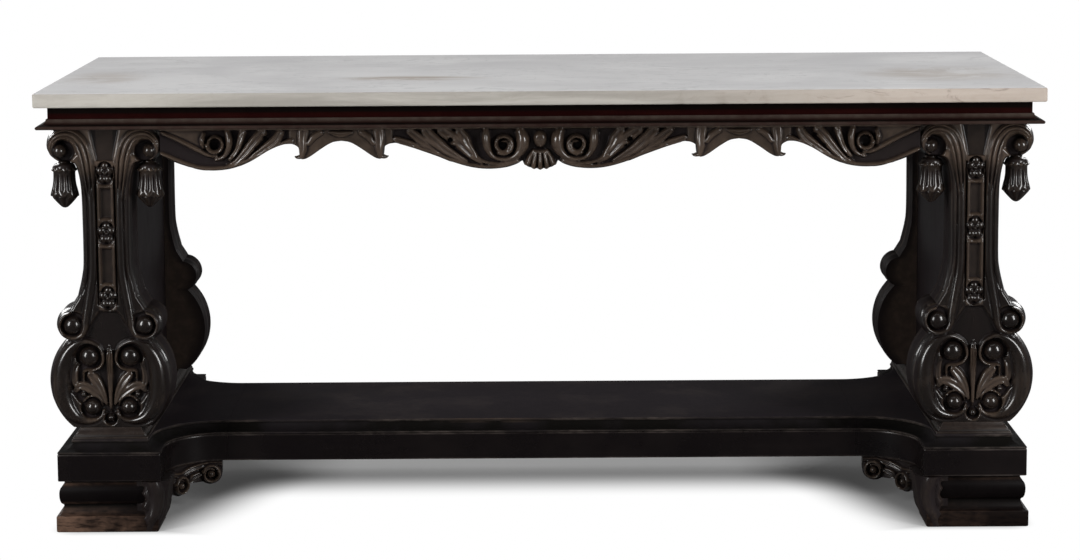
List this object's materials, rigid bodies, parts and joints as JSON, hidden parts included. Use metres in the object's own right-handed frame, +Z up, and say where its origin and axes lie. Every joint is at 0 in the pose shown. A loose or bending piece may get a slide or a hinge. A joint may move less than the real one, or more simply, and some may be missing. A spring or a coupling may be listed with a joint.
{
  "type": "centre table",
  "caption": "Long ebonised centre table with a pale marble slab, carved scroll aprons, carved pilaster end supports with hanging husks, and a low shelf on moulded feet.",
  "frame": {"origin": "on the floor under the middle of the table", "axes": "+Z up, +X along the table's length, +Y towards its back"},
  "size_m": [1.83, 0.76, 0.814],
  "materials": {
    "marble": "honed, faint grey veins",
    "carved_wood": "ebonised and carved, satin, dusty in the hollows",
    "ebonised_wood": "ebonised, satin, rubbed brown at the edges",
    "frieze_wood": "dark red-brown stain, satin",
    "inner_wood": "plain planed wood",
    "steel": "dull steel"
  },
  "bodies": {
    "root": {"back_apron": "carved_wood", "back_cornice": "frieze_wood", "back_frieze_rail": "frieze_wood", "back_platform_rail": "ebonised_wood", "centre_bearer": "inner_wood", "front_apron": "carved_wood", "front_cornice": "frieze_wood", "front_frieze_rail": "frieze_wood", "front_platform_rail": "ebonised_wood", "left_back_bracket": "carved_wood", "left_back_foot": "ebonised_wood", "left_back_inner_husk": "carved_wood", "left_back_outer_husk": "carved_wood", "left_back_pilaster": "carved_wood", "left_back_screw": "steel", "left_bearer": "inner_wood", "left_cornice": "frieze_wood", "left_frieze_rail": "frieze_wood", "left_front_bracket": "carved_wood", "left_front_foot": "ebonised_wood", "left_front_inner_husk": "carved_wood", "left_front_outer_husk": "carved_wood", "left_front_pilaster": "carved_wood", "left_front_screw": "steel", "left_plinth_block": "ebonised_wood", "left_plinth_cap": "ebonised_wood", "left_riser": "ebonised_wood", "left_support_panel": "ebonised_wood", "left_top_cleat": "inner_wood", "marble_top": "marble", "right_back_bracket": "carved_wood", "right_back_foot": "ebonised_wood", "right_back_inner_husk": "carved_wood", "right_back_outer_husk": "carved_wood", "right_back_pilaster": "carved_wood", "right_back_screw": "steel", "right_bearer": "inner_wood", "right_cornice": "frieze_wood", "right_frieze_rail": "frieze_wood", "right_front_bracket": "carved_wood", "right_front_foot": "ebonised_wood", "right_front_inner_husk": "carved_wood", "right_front_outer_husk": "carved_wood", "right_front_pilaster": "carved_wood", "right_front_screw": "steel", "right_plinth_block": "ebonised_wood", "right_plinth_cap": "ebonised_wood", "right_riser": "ebonised_wood", "right_support_panel": "ebonised_wood", "right_top_cleat": "inner_wood", "shelf_board": "ebonised_wood"}
  },
  "joints": []
}
